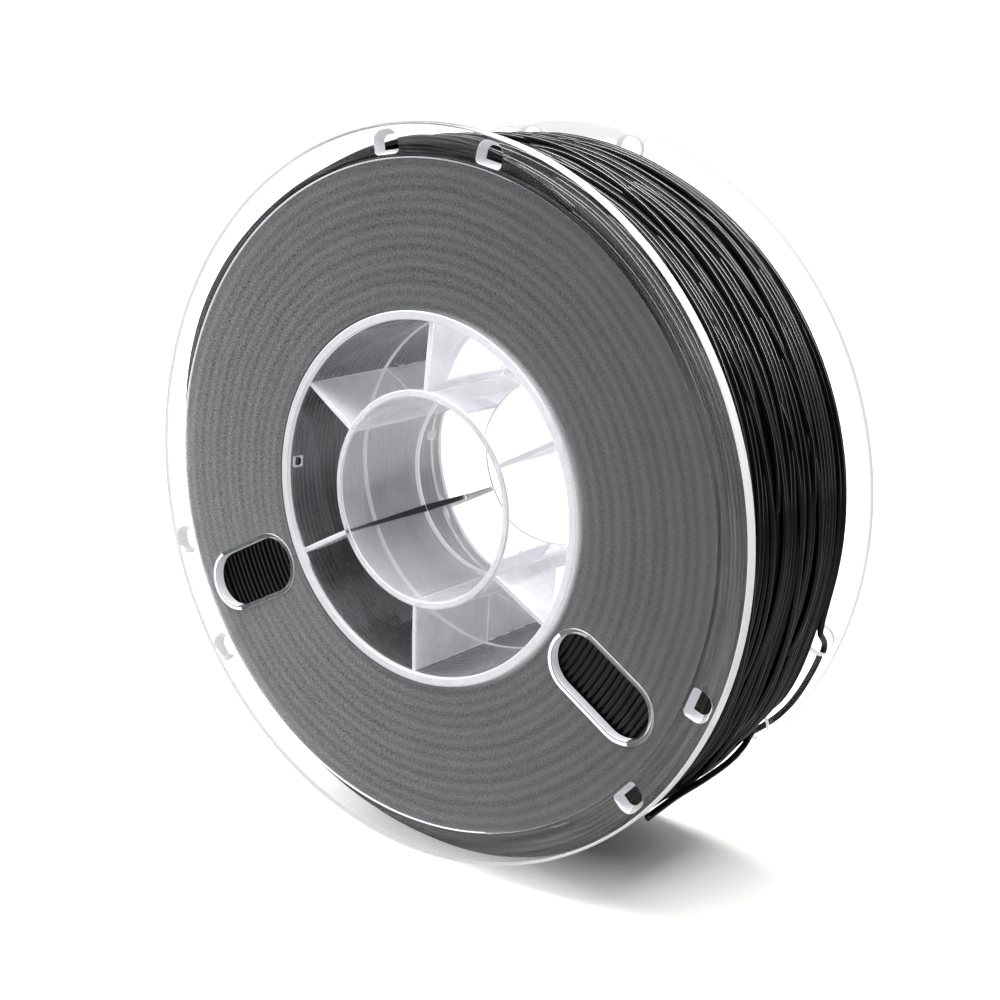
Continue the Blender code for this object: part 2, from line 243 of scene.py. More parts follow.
def hub_look():
    """The hub's clear walls, milkier in the thin ribs than in the tube and barrel."""
    material, nodes, shader, place = new_material("hub_polystyrene")
    tint = (0.955, 0.95, 0.985)
    dark_tint, line_tint, outline_tint = (0.08, 0.08, 0.085), (0.32, 0.32, 0.335), (0.74, 0.73, 0.78)
    tube_haze, rib_haze, barrel_haze = 0.22, 0.44, 0.045
    times, spread = nodes.times, nodes.spread
    radius, angle, _ = nodes.cylinder(place)
    x, y, z = nodes.split(place)
    cloud = nodes.noise(place, scale=70.0, detail=3.0, rough=0.6)
    drag = nodes.noise(place, scale=300.0, detail=3.0, rough=0.6)

    haze = nodes.plus(
        spread(radius, over=(0.0304, 0.0307), to=(tube_haze, rib_haze)),
        spread(radius, over=(0.0482, 0.0485), to=(0.0, barrel_haze - rib_haze)),
    )
    mottle = spread(nodes.mixed(cloud, drag, share=0.7), over=(0.3, 0.7), to=(0.8, 1.25))
    in_tube = spread(radius, over=(0.0303, 0.0306), to=(1.0, 0.0))
    in_barrel = spread(radius, over=(0.0482, 0.0485))
    in_rib = nodes.minus(nodes.inverse(in_tube), in_barrel, clamp=True)

    # painted shade: the rib seen along its own plane is painted dark where it shows through the tube
    off = nodes.math("ABSOLUTE", nodes.plus(angle, math.radians(360.0 - 210.0 - CLOCKING)))
    behind_face = spread(y, over=(-0.026, -0.022))
    dark = times(spread(off, over=(0.05, 0.08), to=(1.0, 0.0)), behind_face, in_rib)
    # and so is its foot on the tube, painted dark and milky, widest at the middle of the spool
    wide = spread(nodes.math("ABSOLUTE", y), over=(0.0, 0.033), to=(0.036, 0.012))
    foot = times(
        spread(nodes.minus(off, wide), over=(-0.004, 0.004), to=(1.0, 0.0)),
        in_tube,
        spread(y, over=(0.017, 0.019), to=(1.0, 0.0)),
    )
    dark = nodes.larger(dark, foot)
    clear = nodes.inverse(dark)

    # painted light: bright lines that glow, along the seam between the two halves and the lip where
    # the barrel meets the face
    depth = nodes.math("ABSOLUTE", y)
    in_seam = spread(depth, over=(0.00018, 0.0003), to=(1.0, 0.0))
    seam = times(in_seam, nodes.inverse(in_rib), clear)
    lip = times(
        spread(depth, over=(0.0317, 0.0322)),
        in_barrel,
        spread(radius, over=(0.0509, 0.0512), to=(1.0, 0.0)),
    )
    seam_share, line_milk, foot_milk, line_glow = 0.8, 0.75, 0.8, 0.5
    line = nodes.larger(times(seam, seam_share), lip)
    dark_milk = 0.2  # how much of the milkiness the dark parts keep
    milk = times(haze, mottle, nodes.plus(times(clear, 1.0 - dark_milk), dark_milk))
    milk = nodes.larger(milk, times(line, line_milk), times(foot, foot_milk))

    # painted shade: on the +X side the tube's rim is painted greyer and glows less, so that it
    # stands out against the bright end
    on_rim = spread(y, over=(-0.0330, -0.0325), to=(1.0, 0.0))
    outline = times(on_rim, in_tube, spread(x, over=(0.0, 0.02)))
    colour = nodes.blend(outline, rgba(tint), rgba(outline_tint))
    colour = nodes.blend(dark, colour, rgba(dark_tint))

    # painted light: the +X side glows as if washed out, most of all near the top; the clear parts of
    # the ribs and the tube glow a little
    side_wash, top_wash, rib_glow, tube_glow = 0.06, 0.13, 0.095, 0.05
    washed = times(spread(x, over=(0.004, 0.035)), side_wash)
    above = times(spread(x, over=(-0.003, 0.001)), spread(z, over=(0.028, 0.032)), top_wash)
    glow = nodes.plus(
        times(in_rib, clear, mottle, rib_glow), times(nodes.larger(washed, above), mottle)
    )
    glow = times(glow, nodes.inverse(outline))
    glow = nodes.plus(glow, times(in_tube, clear, mottle, tube_glow))
    nodes.fill(shader, {
        "Base Color": nodes.blend(line, colour, rgba(line_tint)),
        "Roughness": spread(drag, over=(0.3, 0.75), to=(0.005, 0.011)),
        "IOR": POLYSTYRENE_IOR,
        "Transmission Weight": nodes.inverse(milk),
        "Emission Color": rgba(tint),
        "Emission Strength": nodes.plus(glow, times(line, line_glow)),
        "Normal": nodes.bump(cloud, strength=0.005, distance=0.004),
    })
    return material


def frosted_look():
    """The sunk face of the flange: satin grain, with faint rings painted in as the shade of the
    winding's ridges behind it.
    """
    material, nodes, shader, place = new_material("frosted_polystyrene")
    tint = (0.945, 0.965, 1.0)
    base_tone, grain_size, ring_size = 0.31, 0.58, 0.14
    times, spread = nodes.times, nodes.spread
    radius = nodes.radius(place)
    x, _, z = nodes.split(place)
    wander_reach = 0.0022
    wander = times(nodes.noise(place, scale=30.0), wander_reach)
    # painted shade: faint rings about the axis; the finer ones, 3.03 mm apart, follow the winding's
    # ridges behind the face and also vary the roughness
    ring, slow_ring = [
        nodes.math("SINE", times(nodes.plus(radius, wander), math.tau / spacing))
        for spacing in (0.00303, 0.0079)
    ]
    grain = nodes.noise(place, scale=3300.0, rough=0.6)
    coarse = nodes.noise(place, scale=1700.0, rough=0.6)
    cloud = nodes.noise(place, scale=45.0, detail=3.0)
    tone = nodes.mixed(grain, coarse, share=0.55)

    # painted light: the grain is painted stronger towards the left (-X) of the face, where it
    # catches more of the light
    strong = spread(x, over=(-0.07, 0.08), to=(1.0, 0.42))
    level = times(spread(tone, over=(0.36, 0.64), to=(-1.0, 1.0)), times(strong, grain_size))
    level = nodes.plus(
        level,
        times(ring, ring_size),
        times(slow_ring, ring_size * 0.4),
        spread(cloud, over=(0.3, 0.7), to=(-0.04, 0.04)),
    )
    level = times(nodes.plus(level, 1.0), base_tone)
    # painted light: the face is painted lighter towards the left (-X) and towards the top
    across = spread(x, over=(-0.09, 0.09), to=(1.08, 0.66))
    upward = spread(z, over=(-0.08, 0.08), to=(1.17, 0.9))
    level = times(level, times(across, upward))

    # by the barrel the face glows on the right and is shaded on the left
    near = spread(radius, over=(0.0508, 0.0528), to=(1.0, 0.0))
    bright = times(near, spread(x, over=(0.0, 0.045)))
    shade = times(
        spread(radius, over=(0.0512, 0.0516), to=(1.0, 0.0)),
        spread(x, over=(-0.03, 0.0), to=(0.75, 0.0)),
    )
    level = times(level, nodes.inverse(shade))
    barrel_glow, ring_roughness = 0.5, 0.02
    roughness = spread(coarse, over=(0.3, 0.7), to=(0.46, 0.58))
    nodes.fill(shader, {
        "Base Color": nodes.combine(*[times(level, channel) for channel in tint]),
        "Roughness": nodes.plus(roughness, times(ring, ring_roughness)),
        "IOR": POLYSTYRENE_IOR,
        "Specular IOR Level": 0.22,
        "Transmission Weight": 0.55,
        "Emission Color": (0.97, 0.97, 1.0, 1.0),
        "Emission Strength": times(bright, bright, barrel_glow),
        "Normal": nodes.bump(tone, strength=0.3, distance=0.0001),
    })
    return material


def edge_look(name, tint, glow, transmission, tone=1.0, milk_and_glow=None):
    """Edges and walls of the clear moulding, with a painted glow that stands in for light gathered
    by the wall leaving it.

    tone scales what it scatters, apart from what it glows with. milky gives the ranges
    that map x to how cloudy it is and how much of the painted glow it keeps; without it, all of it
    is cloudy and glows fully."""
    material, nodes, shader, place = new_material(name)
    fine = nodes.noise(place, scale=1700.0, detail=3.0, rough=0.6)
    drag = nodes.noise(place, scale=210.0)
    share = nodes.spread(drag, over=(0.3, 0.7))
    colour = nodes.blend(share, rgba(tint, 0.9 * tone), rgba(tint, tone))
    # painted shade: greyer inside the barrel, on the right (+X)
    radius = nodes.radius(place)
    x = nodes.split(place)[0]
    in_barrel = nodes.spread(radius, over=(0.0482, 0.0486), to=(1.0, 0.0))
    fade = nodes.times(nodes.spread(x, over=(0.002, 0.02)), in_barrel)
    fade_share, fade_tint = 0.6, (0.25, 0.25, 0.27)
    mottle = nodes.mixed(fine, drag, share=0.6)
    light = nodes.spread(mottle, over=(0.35, 0.65), to=(glow * 0.92, glow * 1.08))
    if milk_and_glow is None:
        roughness = nodes.spread(fine, over=(0.3, 0.7), to=(0.27, 0.31))
    else:
        # painted light: the glow and the cloudiness follow x
        part = nodes.spread(nodes.split(place)[0], **milk_and_glow)
        transmission = nodes.spread(part, over=(0.0, 1.0), to=(1.0, transmission))
        light = nodes.times(light, part)
        roughness = nodes.spread(part, over=(0.0, 0.6), to=(0.02, 0.22))
    nodes.fill(shader, {
        "Base Color": nodes.blend(nodes.times(fade, fade_share), colour, rgba(fade_tint)),
        "Roughness": roughness,
        "IOR": POLYSTYRENE_IOR,
        "Transmission Weight": transmission,
        "Emission Color": rgba(tint),
        "Emission Strength": light,
        "Normal": nodes.bump(fine, strength=0.008, distance=0.0001),
    })
    return material


def rim_base(name):
    """What both flanges' outer edges share, with a mottle and a slow noise to build on."""
    material, nodes, shader, place = new_material(name)
    fine = nodes.noise(place, scale=1700.0, detail=3.0, rough=0.6)
    drag = nodes.noise(place, scale=160.0)
    mottle = nodes.mixed(fine, drag, share=0.5)
    nodes.fill(shader, {
        "Roughness": nodes.spread(fine, over=(0.3, 0.7), to=(0.26, 0.31)),
        "IOR": POLYSTYRENE_IOR,
        "Emission Color": (0.965, 0.965, 0.98, 1.0),
        "Normal": nodes.bump(fine, strength=0.008, distance=0.0001),
    })
    mottle = nodes.spread(mottle, over=(0.35, 0.65), to=(0.95, 1.05))
    return material, nodes, shader, place, mottle, drag


def front_rim_look():
    """The front flange's outer edge, glowing with painted light: bright on the right (+X), a soft
    grey elsewhere.
    """
    material, nodes, shader, place, mottle, _ = rim_base("polystyrene_rim")
    x, _, z = nodes.split(place)
    x_lean, z_lean = 6.0, 0.9
    lean = nodes.plus(nodes.times(x, x_lean), nodes.times(z, z_lean))
    bright = nodes.spread(lean, over=(0.13, 0.30))
    # painted shade: away from the bright part, it glows less near the top
    top = nodes.times(nodes.spread(z, over=(0.086, 0.096)), nodes.inverse(bright))
    bright_glow, dull_glow, top_loss = 0.36, 0.58, 0.40
    dull = nodes.minus(dull_glow, nodes.times(top, top_loss))
    dull_tint, bright_tint = (0.10, 0.10, 0.105), (0.84, 0.835, 0.87)
    nodes.fill(shader, {
        "Base Color": nodes.blend(bright, rgba(dull_tint), rgba(bright_tint)),
        "Transmission Weight": 0.35,
        "Emission Strength": nodes.times(mottle, nodes.choose(bright, bright_glow, dull)),
    })
    return material


def rear_rim_look():
    """The rear flange's outer edge glows white with painted light; only its far corner reads, as a
    thin line where the glow is weaker.
    """
    material, nodes, shader, place, mottle, drag = rim_base("polystyrene_far_rim")
    y = nodes.split(place)[1]
    waver = 0.0006
    line = nodes.spread(nodes.plus(y, nodes.times(drag, waver)), over=(0.0309, 0.0314))
    glow = nodes.spread(line, over=(0.0, 1.0), to=(1.02, 0.64))
    dull_tint, line_tint = (0.04, 0.04, 0.04), (0.10, 0.10, 0.105)
    nodes.fill(shader, {
        "Base Color": nodes.blend(line, rgba(dull_tint), rgba(line_tint)),
        "Specular IOR Level": 0.1,
        "Transmission Weight": 0.05,
        "Emission Strength": nodes.times(mottle, glow),
    })
    return material


def filament_look(name, tone, roughness):
    """Satin black plastic: faint draw lines along the strand and dusty variation."""
    material, nodes, shader, place = new_material(name)
    radius, angle, y = nodes.cylinder(place)
    across, along = 2600.0, 7.0  # noise scales, which draw the lines out along the strand
    lines_at = nodes.combine(
        nodes.times(radius, across), nodes.times(y, across), nodes.times(angle, along)
    )
    lines = nodes.noise(lines_at, scale=1.0)
    patch = nodes.noise(place, scale=70.0)
    dust = nodes.noise(place, scale=1900.0, detail=3.0, rough=0.7)
    dusty = nodes.spread(nodes.mixed(patch, dust, share=0.6), over=(0.38, 0.62))
    colour = nodes.blend(dusty, rgba(tone, 0.7), rgba(tone, 1.4))
    # painted highlight: the turns on the barrel are painted paler along their crests
    turns = nodes.times(nodes.plus(y, SIDE_Y * MM), math.tau / (Y_PITCH * MM))
    crest_highlight = nodes.times(
        nodes.spread(nodes.math("COSINE", turns), over=(0.2, 0.9)),
        nodes.spread(radius, over=(0.0522, 0.0526), to=(1.0, 0.0)),
    )
    crest_highlight_tint = (0.14, 0.14, 0.14)
    gloss = (roughness - 0.02, roughness + 0.03)
    nodes.fill(shader, {
        "Base Color": nodes.blend(crest_highlight, colour, rgba(crest_highlight_tint)),
        "Roughness": nodes.spread(lines, over=(0.3, 0.7), to=gloss),
        "IOR": FILAMENT_IOR,
        "Normal": nodes.bump(lines, strength=0.014, distance=0.00005),
    })
    return material


# ---- mesh helpers ---------------------------------------------------------------------------
def link(name, mesh):
    obj = bpy.data.objects.new(name, mesh)
    bpy.context.scene.collection.objects.link(obj)
    return obj


def shape(name, verts, faces):
    """An object from vertices in metres, its normals facing out."""
    mesh = bpy.data.meshes.new(name)
    mesh.from_pydata([tuple(vert) for vert in verts], [], faces)
    bm = bmesh.new()
    bm.from_mesh(mesh)
    bmesh.ops.recalc_face_normals(bm, faces=bm.faces[:])
    bm.to_mesh(mesh)
    bm.free()
    return link(name, mesh)


def band_quads(rows, sides, closed=True):
    """Quads between neighbouring rows of closed sections; closed joins the last to the first."""
    i, j = np.meshgrid(np.arange(rows if closed else rows - 1), np.arange(sides), indexing="ij")
    this_row, next_row, next_side = i * sides, (i + 1) % rows * sides, (j + 1) % sides
    corners = (this_row + j, this_row + next_side, next_row + next_side, next_row + j)
    return np.stack(corners, -1).reshape(-1, 4)


def capped_faces(rows, sides):
    caps = [list(range(sides))[::-1], list(range((rows - 1) * sides, rows * sides))]
    return caps + band_quads(rows, sides, closed=False).tolist()


def full_turn(steps):
    return np.arange(steps) * (math.tau / steps)


def about_y(radius, y, angles):
    """Vertices in metres of sections (radius, y) set round the spool's axis."""
    x, z = radius * np.cos(angles)[:, None], radius * np.sin(angles)[:, None]
    return np.stack([x, y, z], -1).reshape(-1, 3) * MM


def lathe(name, profile, steps):
    """A closed ring from a closed profile of (radius, height); height is along local +Z."""
    angles = full_turn(steps)[:, None]
    radius, height = (np.array(column)[None, :] for column in zip(*profile))
    verts = np.stack([radius * np.cos(angles), radius * np.sin(angles), height + 0 * angles], -1)
    return shape(name, verts.reshape(-1, 3) * MM, band_quads(steps, len(profile)).tolist())


def loft(name, layers):
    """A closed solid through outlines [(points, height)], all with the same point count."""
    verts = [(x * MM, y * MM, height * MM) for points, height in layers for x, y in points]
    return shape(name, verts, capped_faces(len(layers), len(layers[0][0])))


def arc(x, y, radius, start, end, count):
    step = math.radians(end - start) / count
    angles = [math.radians(start) + step * i for i in range(count + 1)]
    return [(x + radius * math.cos(angle), y + radius * math.sin(angle)) for angle in angles]


def rounded(corners):
    """A closed outline whose corners (x, y, fillet radius) are rounded."""
    outline = []
    for k, (x, y, fillet) in enumerate(corners):
        corner = Vector((x, y))
        back = Vector(corners[k - 1][:2]) - corner
        ahead = Vector(corners[(k + 1) % len(corners)][:2]) - corner
        half = back.angle(ahead) / 2
        cut = min(fillet / math.tan(half), back.length * 0.49, ahead.length * 0.49)
        fillet = cut * math.tan(half)
        start, end = corner + back.normalized() * cut, corner + ahead.normalized() * cut
        middle = (back.normalized() + ahead.normalized()).normalized()
        centre = corner + middle * (fillet / math.sin(half))
        spoke = start - centre
        turn = spoke.angle_signed(end - centre)
        for step in range(FILLET_STEPS + 1):
            turned = spoke.copy()
            turned.rotate(Matrix.Rotation(-turn * step / FILLET_STEPS, 2))
            outline.append(tuple(centre + turned))
    return outline


def spun(points, degrees):
    cos, sin = math.cos(math.radians(degrees)), math.sin(math.radians(degrees))
    return [(x * cos - y * sin, x * sin + y * cos) for x, y in points]


def fillet_steps(fillet):
    """(inset, rise) along a quarter round."""
    angles = [math.radians(90.0 * k / FILLET_STEPS) for k in range(FILLET_STEPS + 1)]
    return [(fillet * (1 - math.cos(angle)), fillet * math.sin(angle)) for angle in angles]


def flared(name, outline, fillet, draft=0.0):
    """A cutter through the flange that leaves its hole's edges rounded.

    outline(grow) gives its outline; draft narrows it at the flange's inner face."""
    overshoot = 3.0
    steps = fillet_steps(fillet)
    layers = [(outline(fillet - draft), INNER - overshoot)]
    layers += [(outline(inset - draft), INNER + fillet - rise) for inset, rise in steps[::-1]]
    layers += [(outline(inset), HALF_WIDTH - fillet + rise) for inset, rise in steps]
    layers.append((outline(fillet), HALF_WIDTH + overshoot))
    return loft(name, layers)


def raised(name, outline, low, high, fillet):
    """A pad whose top edge is rounded."""
    layers = [(outline(0.0), low)]
    layers += [(outline(-inset), high - fillet + rise) for inset, rise in fillet_steps(fillet)]
    return loft(name, layers)


# ---- pieces of a moulded half, height along local +Z ----------------------------------------
def window_outline(degrees, grow):
    """A radial slot with round ends."""
    half = WINDOW_HALF + grow
    inner, outer = WINDOW_R0 - grow, WINDOW_R1 + grow
    ends = arc(outer - half, 0, half, -90, 90, 20) + arc(inner + half, 0, half, 90, 270, 20)
    return spun(ends, degrees)


def collar_outline(degrees, grow):
    return window_outline(degrees, COLLAR + grow)


def rim_hole_outline(degrees, grow):
    """A hole near the rim, with larger corners on its outer side."""
    radial, wide = HOLE_RADIAL / 2 + grow, HOLE_WIDE / 2 + grow
    inner, outer = HOLE_INNER_CORNER + grow, HOLE_OUTER_CORNER + grow
    inner_x = HOLE_CENTRE_R - radial + inner
    outer_x = HOLE_CENTRE_R + radial - outer
    return spun(
        arc(inner_x, -wide + inner, inner, 180, 270, 6)
        + arc(outer_x, -wide + outer, outer, 270, 360, 10)
        + arc(outer_x, wide - outer, outer, 0, 90, 10)
        + arc(inner_x, wide - inner, inner, 90, 180, 6),
        degrees,
    )


def flange_and_barrel():
    profile = [
        # radius, height, fillet
        (BARREL_IN_R, HALF_WIDTH, 0.35),
        (BARREL_R, HALF_WIDTH, 0.25),
        (BARREL_R + PANEL_DEPTH, PANEL, 0.1),
        (PANEL_R - PANEL_DEPTH, PANEL, 0.1),
        (PANEL_R, HALF_WIDTH, 0.2),
        (FLANGE_R, HALF_WIDTH, 0.7),
        (FLANGE_R, INNER, 0.7),
        (BARREL_R, INNER, 0.25),
        (BARREL_R, MID, 0.15),
        (BARREL_IN_R, MID, 0.15),
    ]
    return lathe("half_blank", rounded(profile), FLANGE_STEPS)


def centre_tube():
    profile = [
        # radius, height, fillet
        (BORE_R, HALF_WIDTH, 0.5),
        (TUBE_FACE_R, HALF_WIDTH, 0.5),
        (TUBE_MID_R, MID, 0.15),
        (BORE_R, MID, 0.15),
    ]
    return lathe("tube_blank", rounded(profile), TUBE_STEPS)


def rib_blank(name, degrees):
    """A rib with rounded long edges at the face end; it drops a little towards the barrel."""
    start, stop = TUBE_FACE_R - 0.9, BARREL_IN_R + 1.0
    low, high = MID + 0.1, HALF_WIDTH - 0.3
    mid_drop, end_drop = 0.45, 1.2
    half, fillet = RIB_T / 2, RIB_EDGE_FILLET

    def section(radius, top):
        quarter = [
            (fillet * math.cos(angle), fillet * math.sin(angle))
            for angle in np.linspace(0, math.pi / 2, 4)
        ]
        points = [(-half, low), (half, low)]
        points += [(half - fillet + cos, top - fillet + sin) for cos, sin in quarter]
        points += [(-half + fillet - sin, top - fillet + cos) for cos, sin in quarter]
        return [(radius, across, height) for across, height in points]

    sections = [
        section(start, high),
        section((start + stop) / 2, high - mid_drop),
        section(stop, high - end_drop),
    ]
    sides = len(sections[0])
    x, y, height = (np.array([point for points in sections for point in points]) * MM).T
    cos, sin = math.cos(math.radians(degrees)), math.sin(math.radians(degrees))
    verts = np.stack([x * cos - y * sin, x * sin + y * cos, height], -1)
    caps = [list(range(sides)), list(range(2 * sides, 3 * sides))[::-1]]
    quads = band_quads(3, sides, closed=False)[:, [0, 3, 2, 1]]
    return shape(name, verts, caps + quads.tolist())


def anchor_cutter():
    """The square hole through the barrel wall, just inside the flange."""
    start, stop, half = BARREL_IN_R - 3, BARREL_R + 3, ANCHOR_SIDE / 2
    outline = spun([(start, -half), (stop, -half), (stop, half), (start, half)], ANCHOR_ANGLE)
    return loft("anchor", [(outline, ANCHOR_TOP - ANCHOR_SIDE), (outline, ANCHOR_TOP)])


def build_half(hole_draft):
    """One moulded half as a mesh, its height along local +Z."""
    body = flange_and_barrel()
    tools = []

    def use(tool, operation):
        tools.append(tool)
        modifier = body.modifiers.new(operation.lower(), "BOOLEAN")
        modifier.object = tool
        modifier.operation = operation
        modifier.solver = "EXACT"

    use(centre_tube(), "UNION")
    for k in range(RIB_COUNT):
        angle = FIRST_RIB + 360.0 / RIB_COUNT * k + CLOCKING
        use(rib_blank("rib_blank_%d" % k, angle), "UNION")
    for k, angle in enumerate(WINDOW_ANGLES):
        collar = partial(collar_outline, angle + CLOCKING)
        window = partial(window_outline, angle + CLOCKING)
        use(raised("collar_%d" % k, collar, INNER + 0.8, HALF_WIDTH, fillet=0.28), "UNION")
        use(flared("window_%d" % k, window, fillet=0.4), "DIFFERENCE")
    for k, pair in enumerate(HOLE_PAIRS):
        for side in (-1, 1):
            hole = partial(rim_hole_outline, pair + side * HOLE_SPREAD + CLOCKING)
            cutter = flared("hole_%d_%d" % (k, side), hole, fillet=0.2, draft=hole_draft)
            use(cutter, "DIFFERENCE")
    use(anchor_cutter(), "DIFFERENCE")

    bpy.context.view_layer.update()
    graph = bpy.context.evaluated_depsgraph_get()
    mesh = bpy.data.meshes.new_from_object(body.evaluated_get(graph))
    for obj in (*tools, body):
        bpy.data.objects.remove(obj, do_unlink=True)
    bm = bmesh.new()
    bm.from_mesh(mesh)
    bmesh.ops.remove_doubles(bm, verts=bm.verts[:], dist=0.000002)
    bmesh.ops.dissolve_degenerate(bm, edges=bm.edges[:], dist=0.000001)
    bmesh.ops.recalc_face_normals(bm, faces=bm.faces[:])
    bm.to_mesh(mesh)
    bm.free()
    return mesh


# the shells' material slots
CLEAR, FROSTED, EDGE, HUB, RING, STEP, GLINT, RIM, FAR_RIM, SHADE = range(10)


def hub_slot(radius, height, out):
    """The slot of a face of the ribs, tube or barrel."""
    rib = TUBE_MID_R + 0.2 < radius < BARREL_IN_R - 0.1
    if height > HALF_WIDTH - (2.2 if rib else 0.7):
        if out > 0.9:
            if rib:
                return EDGE
            return RING if radius > BARREL_IN_R - 0.1 else HUB
        if out > 0.2 and not rib:
            return EDGE
    elif height < MID + 0.25 and 0.2 < abs(out) < 0.93:
        return EDGE
    return HUB


def hole_wall_slot(centre, normal, beyond_panel, mirrored):
    """The slot of a wall of a window or rim hole, by the way it faces."""
    if mirrored:
        return GLINT if beyond_panel else EDGE
    if beyond_panel and centre.x < -0.06 and centre.z < 0:
        # the rim holes at the lower left
        if normal.x < -0.55:
            return SHADE
        return GLINT if normal.x > 0.2 else CLEAR
    return EDGE if normal.x > -0.2 else CLEAR


def face_slot(centre, normal, mirrored):
    sign = 1.0 if mirrored else -1.0
    radius = math.hypot(centre.x, centre.z) / MM
    height = sign * centre.y / MM
    out = sign * normal.y  # 1 where the face looks away from the middle of the spool
    turn = math.degrees(math.atan2(centre.z, centre.x))
    by_anchor = abs((turn - ANCHOR_ANGLE + 180) % 360 - 180) < 2.4
    in_wall = BARREL_IN_R - 0.1 < radius < BARREL_R + 0.1
    if by_anchor and in_wall and INNER - 3.5 < height < INNER - 0.1 and abs(normal.x) < 0.6:
        return EDGE
    if radius < BARREL_R + 0.28:
        return hub_slot(radius, height, out)
    if out > 0.98 and abs(height - PANEL) < 0.02 and radius < PANEL_R:
        return FROSTED
    if abs(out) < 0.75 and height > INNER - 0.01 and radius < FLANGE_R - 0.9:
        return hole_wall_slot(centre, normal, radius > PANEL_R, mirrored)
    if radius > FLANGE_R - 0.75:
        return FAR_RIM if mirrored else RIM
    if height > PANEL + 0.02:
        if out > 0.3 and radius < PANEL_R - 1.0:
            return HUB  # tops of the window collars
        if PANEL_R - 0.6 < radius < PANEL_R + 0.12:
            return STEP  # round the frosted face
    return CLEAR


def finish_half(name, mesh, mirrored, looks):
    """Places a half, sorts its faces into material slots and sets its normals."""
    mesh.name = name
    # local (x, y, height) -> world (x, -height, y); the rear half is its mirror image
    mesh.transform(Matrix(((1, 0, 0, 0), (0, 0, -1, 0), (0, 1, 0, 0), (0, 0, 0, 1))))
    if mirrored:
        mesh.transform(Matrix.Scale(-1.0, 4, (0.0, 1.0, 0.0)))
        mesh.flip_normals()
    mesh.materials.clear()
    for slot in range(len(looks)):
        mesh.materials.append(looks[slot])
    for face in mesh.polygons:
        face.material_index = face_slot(face.center, face.normal, mirrored)
        face.use_smooth = True
    obj = link(name, mesh)
    mesh.set_sharp_from_angle(angle=math.radians(38.0))
    modifier = obj.modifiers.new("normals", "WEIGHTED_NORMAL")
    modifier.keep_sharp = True
    modifier.weight = 50
    bpy.context.view_layer.update()
    graph = bpy.context.evaluated_depsgraph_get()
    final = bpy.data.meshes.new_from_object(obj.evaluated_get(graph))
    obj.modifiers.clear()
    obj.data = final
    final.name = name
    return obj


def window_lips(look):
    """Painted light: white, glowing strips on the shoulders of the front window collars, on their
    lower left side.
    """
    inset, margin = 0.3, 0.2
    facing_x, facing_z, least = -0.88, -0.47, 0.12
    y = -(HALF_WIDTH + 0.02) * MM
    verts, faces = [], []
    for angle in WINDOW_ANGLES:
        inner = window_outline(angle + CLOCKING, inset)
        outer = window_outline(angle + CLOCKING, COLLAR - margin)
        first, count = len(verts), len(inner)
        shown = []
        for (inner_x, inner_z), (outer_x, outer_z) in zip(inner, outer):
            facing = (outer_x - inner_x) * facing_x + (outer_z - inner_z) * facing_z
            shown.append(facing > least * (COLLAR - margin - inset))
            verts += [(inner_x * MM, y, inner_z * MM), (outer_x * MM, y, outer_z * MM)]
        for k in range(count):
            m = (k + 1) % count
            if shown[k] and shown[m]:
                corners = (2 * k, 2 * k + 1, 2 * m + 1, 2 * m)
                faces.append([first + corner for corner in corners])
    obj = shape("window_lips", verts, faces)
    for face in obj.data.polygons:
        if face.normal.y > 0:
            face.flip()
    obj.data.materials.append(look)
    return obj


def register(obj, slot, *replaced):
    """Fixes an object to the spool and hides the CAD nodes it stands for; slot is not used."""
    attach(obj, "spool")
    if replaced:
        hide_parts(*replaced)


# ---- winding helpers ------------------------------------------------------------------------
def random_wave(rng, angles, sizes):
    """A smooth periodic function of the angle, from the largest size of each harmonic."""
    return sum(
        size * rng.uniform(0.5, 1.0) * np.sin((k + 1) * angles + rng.uniform(0, math.tau))
        for k, size in enumerate(sizes)
    )


def rings(name, strands, sides):
    """Closed round strands, each (radius array, y array) over the angles, as one mesh."""
    around = full_turn(sides)
    verts, faces = [], []
    quads = band_quads(TURN_STEPS, sides)
    for k, (radius, y) in enumerate(strands):
        section_r = radius[:, None] + STRAND_R * np.cos(around)[None, :]
        section_y = y[:, None] + STRAND_R * np.sin(around)[None, :]
        verts.append(about_y(section_r, section_y, TURN_ANGLES))
        faces.append(quads + k * TURN_STEPS * sides)
    return shape(name, np.concatenate(verts), np.concatenate(faces).tolist())


def tube(name, path, sides=12, radius=STRAND_R):
    """A round strand along world points in millimetres, with slightly rounded cut ends."""
    path = np.asarray(path, float)
    tangent = np.gradient(path, axis=0)
    tangent /= np.linalg.norm(tangent, axis=1)[:, None]
    # the section is carried along the path without twisting
    normal = np.zeros_like(path)
    first = np.array([0.0, 1.0, 0.0] if abs(tangent[0][1]) < 0.8 else [1.0, 0.0, 0.0])
    normal[0] = np.cross(tangent[0], first)
    normal[0] /= np.linalg.norm(normal[0])
    for k in range(1, len(path)):
        carried = normal[k - 1] - tangent[k] * (normal[k - 1] @ tangent[k])
        normal[k] = carried / np.linalg.norm(carried)
    side = np.cross(tangent, normal)
    edge, last = 0.14, len(path) - 1
    sections = [(path[0] - tangent[0] * edge, 0, radius - edge)]
    sections += [(point, k, radius) for k, point in enumerate(path)]
    sections.append((path[-1] + tangent[-1] * edge, last, radius - edge))
    verts = [
        centre + size * (math.cos(angle) * normal[k] + math.sin(angle) * side[k])
        for centre, k, size in sections
        for angle in full_turn(sides)
    ]
    return shape(name, np.array(verts) * MM, capped_faces(len(sections), sides))


def polar(radius, degrees, y):
    """World points in millimetres."""
    angle = np.radians(degrees)
    return np.stack([radius * np.cos(angle), y + 0 * radius * angle, radius * np.sin(angle)], -1)


